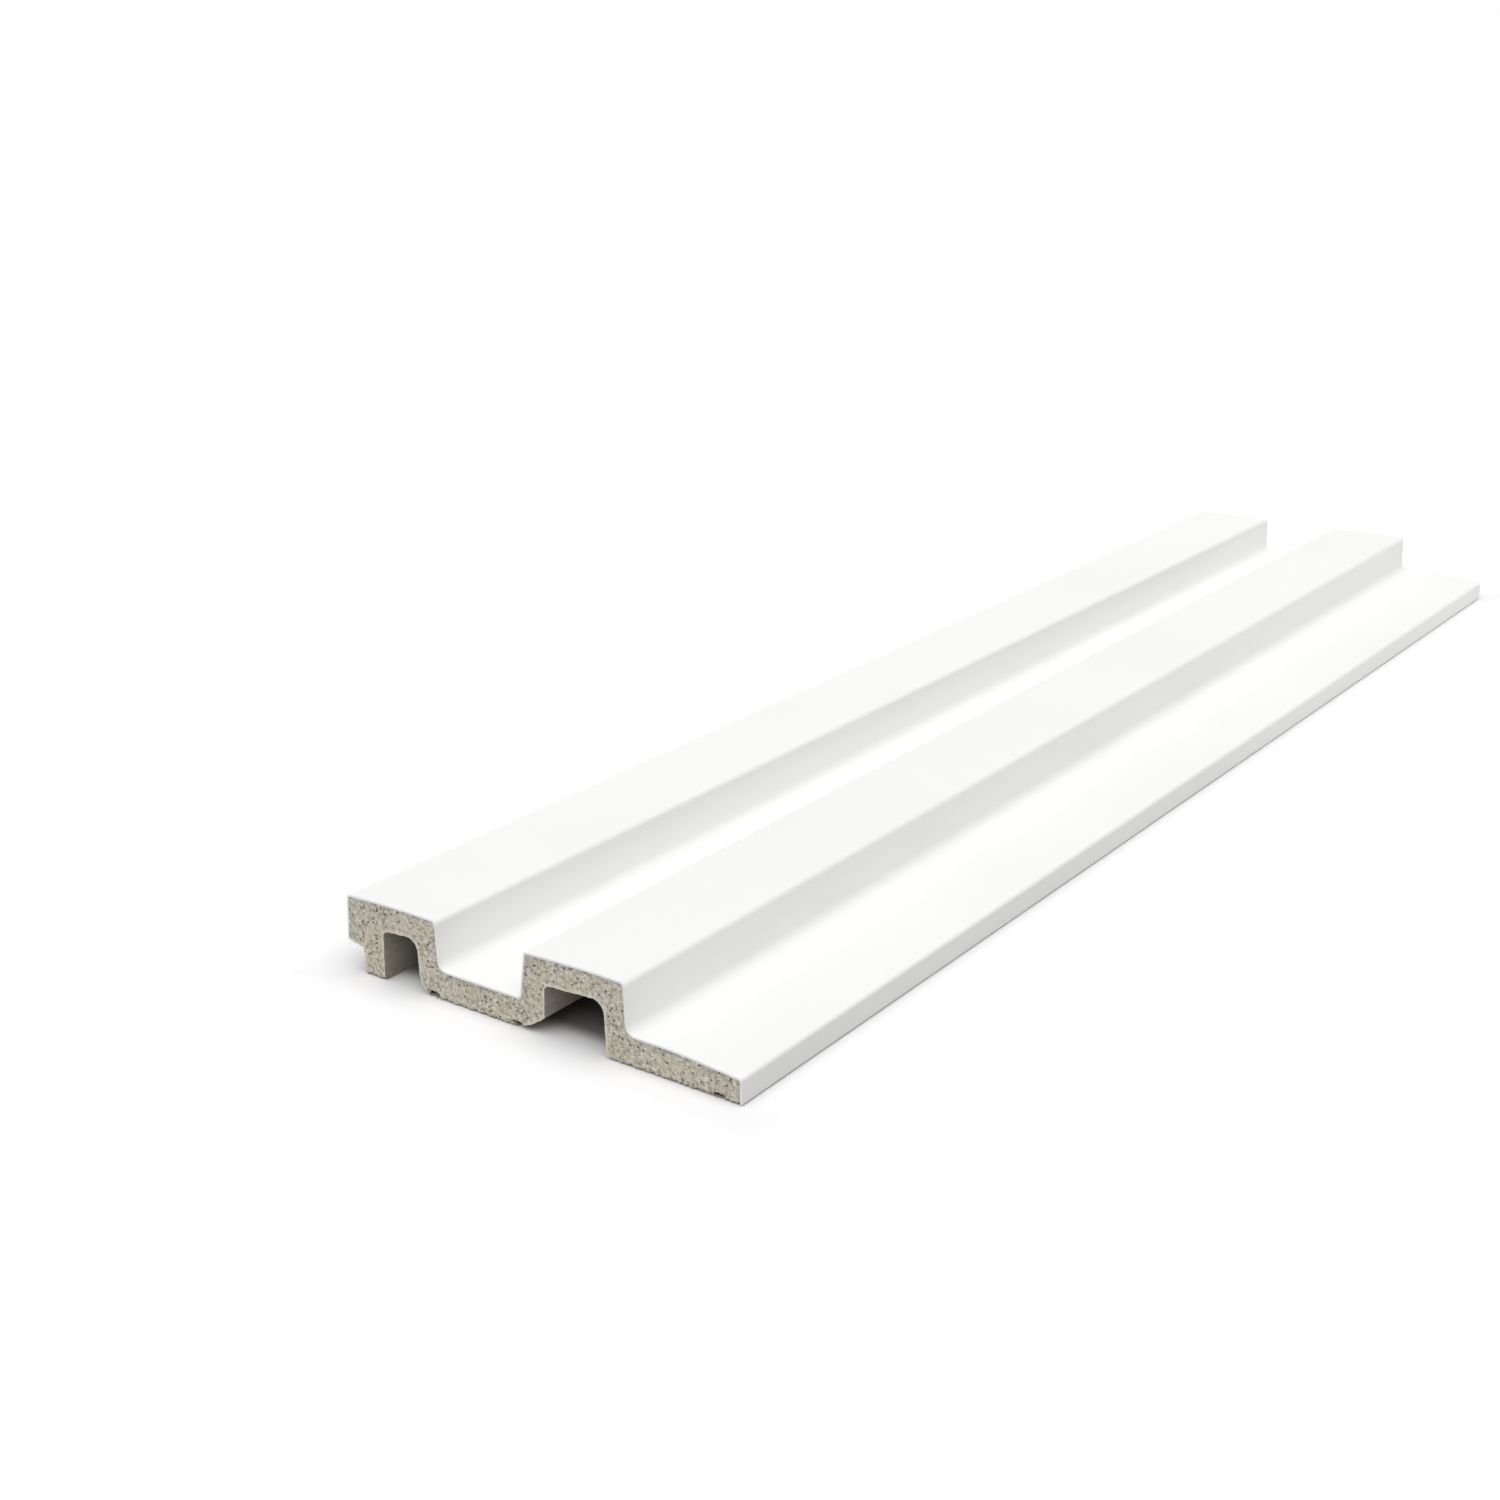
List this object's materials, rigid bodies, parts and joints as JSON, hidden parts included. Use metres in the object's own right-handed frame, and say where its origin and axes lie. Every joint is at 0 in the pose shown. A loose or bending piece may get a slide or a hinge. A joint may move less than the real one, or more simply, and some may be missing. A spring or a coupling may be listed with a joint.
{
  "type": "slat wall panel",
  "caption": "Extruded foamed-plastic slat wall panel with raised ribs, hollow back channels, a joining tongue along one edge and a rebate under the other.",
  "frame": {"origin": "middle of the glued back, on the surface that the panel lies on: half way across the full width, half way along the length", "axes": "+X across the panel from the rebate to the tongue, +Y along the ribs, +Z out of the ribbed front"},
  "size_m": [0.122, 0.5, 0.021],
  "materials": {
    "white_film": "smooth matte white film bonded on grey-beige foam"
  },
  "bodies": {
    "root": {"slat_panel": "white_film"}
  },
  "joints": []
}
